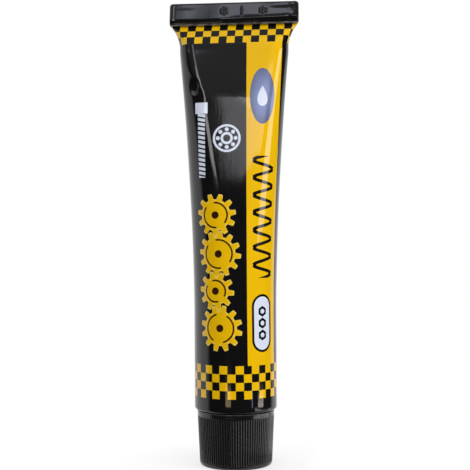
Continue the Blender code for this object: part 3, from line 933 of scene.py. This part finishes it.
# The seal: a band of cream latex sprayed inside the open end before filling. It is caught
# between the walls when the end is folded.
LATEX_TAN = (0.62, 0.55, 0.40, 1)
LATEX_CREAM = (0.75, 0.69, 0.54, 1)
latex = Finish("cream_latex")
sprayed = latex.noise(latex.place(), 700, 4)
latex.set(
    Base_Color=latex.coat(sprayed, LATEX_TAN, LATEX_CREAM),
    Roughness=latex.ranged(sprayed, 0.3, 0.7, 0.45, 0.65),
    Normal=latex.bump(sprayed, 0.3, 0.0001),
)
dress("end_seal_band", latex)


# The filling: a soft grease, dark grey with fine flakes of graphite, pumped in at the open
# end until it fills the sleeve and the nozzle.
GREASE_BLACK = (0.012, 0.012, 0.013, 1)
GRAPHITE_GREY = (0.05, 0.05, 0.055, 1)
graphite = Finish("graphite_grease")
flakes = graphite.noise(graphite.place(), 2500, 3)
swirl = graphite.noise(graphite.place(), 120, 5)
graphite.set(
    Base_Color=graphite.coat(flakes, GREASE_BLACK, GRAPHITE_GREY),
    Metallic=graphite.ranged(flakes, 0.5, 0.62, 0.0, 0.8),
    Roughness=graphite.ranged(swirl, 0.3, 0.7, 0.28, 0.45),
    Normal=graphite.bump(swirl, 0.4, 0.0004),
)
dress("grease_fill", graphite)


# The studio: a white table that ends just before the tube and just right of it, so that the
# cap mirrors the room there. Camera and mirror rays see it white, with a soft shadow round the
# foot of the tube that fades before the edges; other rays see a plain pale top.
TABLE_RIGHT, TABLE_FRONT = 0.03, -0.0145
SHADOW_NEAR, SHADOW_FAR, SHADOW_SHARE = 0.013, 0.045, 0.3
RIGHT_FADE = (0.004, 0.029)
FRONT_FADE = (-0.014, 0.004)
bpy.ops.object.select_all(action="DESELECT")
bpy.ops.mesh.primitive_plane_add(size=6.0, location=(0, 0, 0))
table = bpy.context.object
table.name = "table"
for vertex in table.data.vertices:
    vertex.co.x = min(vertex.co.x, TABLE_RIGHT)
    vertex.co.y = max(vertex.co.y, TABLE_FRONT)
table_white = Finish("table_white")
table_white.set(Base_Color=(0.9, 0.9, 0.9, 1), Roughness=0.6)
tree = table_white.tree
glow = tree.nodes.new("ShaderNodeEmission")
lit = tree.nodes.new("ShaderNodeMixShader")
path = tree.nodes.new("ShaderNodeLightPath")
mirrored = table_white.any_of(
    path.outputs["Is Camera Ray"],
    path.outputs["Is Glossy Ray"],
    path.outputs["Is Transmission Ray"],
)
far = tree.nodes.new("ShaderNodeVectorMath")
far.operation = "LENGTH"
tree.links.new(table_white.place(), far.inputs[0])
split = tree.nodes.new("ShaderNodeSeparateXYZ")
tree.links.new(table_white.place(), split.inputs[0])
faded = table_white.any_of(
    table_white.ranged(far.outputs["Value"], SHADOW_NEAR, SHADOW_FAR, 1 - SHADOW_SHARE, 1.0),
    table_white.ranged(split.outputs[0], *RIGHT_FADE, 0.0, 1.0),
    table_white.ranged(split.outputs[1], *FRONT_FADE, 1.0, 0.0),
)
table_white.feed(lit.inputs[0], table_white.calc("MULTIPLY", mirrored, faded))
tree.links.new(table_white.shader.outputs[0], lit.inputs[1])
tree.links.new(glow.outputs[0], lit.inputs[2])
tree.links.new(lit.outputs[0], tree.nodes["Material Output"].inputs["Surface"])
table.data.materials.append(table_white.material)
table.parent = frame["bodies"]["cap"]

# Light: a white sweep behind, and a dim room in front with a paler ceiling.
SWEEP_TURN = math.radians(-25)
world = bpy.data.worlds.new("white_sweep")
bpy.context.scene.world = world
world.use_nodes = True
tree = world.node_tree
background = tree.nodes["Background"]
direction = tree.nodes.new("ShaderNodeTexCoord").outputs["Generated"]
turned = tree.nodes.new("ShaderNodeMapping")
turned.inputs["Rotation"].default_value = (0.0, 0.0, SWEEP_TURN)
tree.links.new(direction, turned.inputs["Vector"])
split = tree.nodes.new("ShaderNodeSeparateXYZ")
tree.links.new(turned.outputs[0], split.inputs[0])


def glowing(axis, low, high, dim, bright):
    """Strength that rises with the direction along an axis."""
    node = tree.nodes.new("ShaderNodeMapRange")
    node.interpolation_type = "SMOOTHSTEP"
    tree.links.new(split.outputs[axis], node.inputs[0])
    for socket, number in zip(list(node.inputs)[1:5], (low, high, dim, bright)):
        socket.default_value = number
    return node.outputs[0]


def brighter(one, other):
    """The greater of two strengths."""
    node = tree.nodes.new("ShaderNodeMath")
    node.operation = "MAXIMUM"
    tree.links.new(one, node.inputs[0])
    tree.links.new(other, node.inputs[1])
    return node.outputs[0]


path = tree.nodes.new("ShaderNodeLightPath")
room = brighter(glowing(1, 0.05, 0.3, 0.03, 1.0), glowing(2, 0.22, 0.45, 0.0, 0.32))
seen = brighter(path.outputs["Is Camera Ray"], path.outputs["Is Transmission Ray"])
tree.links.new(brighter(room, seen), background.inputs["Strength"])
background.inputs["Color"].default_value = (1, 1, 1, 1)


def lamp(
    name, azimuth, low_z, high_z, distance, width, radiance,
    colour=(1, 1, 1), aside=0.0, mirrored=True,
):
    """An upright area lamp, placed by its angle from the front and a shift to its right."""
    a = math.radians(azimuth)
    place = (
        distance * math.sin(a) + aside * math.cos(a),
        aside * math.sin(a) - distance * math.cos(a),
        (low_z + high_z) / 2,
    )
    bpy.ops.object.light_add(type="AREA", location=place, rotation=(math.pi / 2, 0.0, a))
    light = bpy.context.object
    light.name = name
    light.data.shape = "RECTANGLE"
    light.data.size = width
    light.data.size_y = high_z - low_z
    light.data.energy = radiance * math.pi * width * (high_z - low_z)
    light.data.color = colour
    light.visible_camera = False
    light.visible_glossy = mirrored


CARD_WHITE = (0.94, 0.94, 1.0)

# Three lamps that only light: a soft one high on the right, and two that fill the front.
lamp("softbox", 45, 0.75, 1.45, 1.0, 1.4, 3.5, mirrored=False)
lamp("front_fill", 25, 0.0, 0.35, 1.0, 0.8, 2.7, mirrored=False)
lamp("low_fill", 20, -0.75, -0.35, 1.0, 1.1, 3.0, mirrored=False)

# The rest show as reflections: a white card above the camera, with a lower left end and a
# small brighter core, and a second card higher up.
lamp("card", -7, 0.385, 0.6, 1.13, 1.325, 2.3, CARD_WHITE, aside=0.7235)
lamp("card_left", -7, 0.385, 0.545, 1.13, 0.075, 2.3, CARD_WHITE, aside=0.0235)
lamp("card_top", -7, 0.545, 0.565, 1.13, 0.075, 1.0, CARD_WHITE, aside=0.0235)
lamp("card_core", -7, 0.52, 0.56, 1.12, 0.018, 5.5, aside=0.05)
lamp("high_card", -7.3, 0.805, 1.2, 1.13, 0.22, 1.5, (0.8, 0.83, 1.0))
lamp("high_card_middle", -7.3, 0.805, 1.2, 1.12, 0.11, 1.3, (0.85, 0.87, 1.0))

# Strips and a wall at the sides, for the crease and the round edges of the sleeve.
lamp("left_strip", -20, 0.33, 0.6, 1.0, 0.22, 5.0)
lamp("left_strip_top", -20, 0.6, 0.85, 1.0, 0.15, 2.5)
lamp("left_wall", -58, 0.53, 0.8, 1.0, 0.35, 1.2)
lamp("right_strip", 72, 0.085, 0.34, 0.8, 0.3, 4.5)

# Low lamps below the table top, for the shoulder and the cap.
lamp("left_foot", -14, -0.13, -0.085, 0.8, 0.2, 4.0, (1.0, 0.75, 0.4))
lamp("middle_foot", 53, -0.145, -0.085, 0.8, 0.03, 4.0, (0.8, 0.7, 1.0))
lamp("right_foot", 80, -0.14, -0.095, 0.8, 0.25, 6.0, (1.0, 0.88, 0.75))
lamp("right_low", 92, -0.32, -0.17, 0.8, 0.95, 2.6, (1.0, 0.98, 0.95))

# The camera: upright, a little to the right of the tube's front.
CAMERA_TURN = math.radians(7.0)
CAMERA_DISTANCE = 0.384
CAMERA_HEIGHT = 0.0835
CAMERA_ROLL = math.radians(0.3)
SENSOR_WIDTH = 36.0
FRAME_PIXELS, FOCAL_PIXELS = 470, 1050
bpy.ops.object.camera_add(
    location=(
        CAMERA_DISTANCE * math.sin(CAMERA_TURN),
        -CAMERA_DISTANCE * math.cos(CAMERA_TURN),
        CAMERA_HEIGHT,
    ),
    rotation=(math.pi / 2, CAMERA_ROLL, CAMERA_TURN),
)
camera = bpy.context.object
camera.data.sensor_width = SENSOR_WIDTH
camera.data.lens = SENSOR_WIDTH * FOCAL_PIXELS / FRAME_PIXELS
camera.data.clip_start = 0.01
bpy.context.scene.camera = camera
bpy.context.scene.view_settings.view_transform = "Standard"
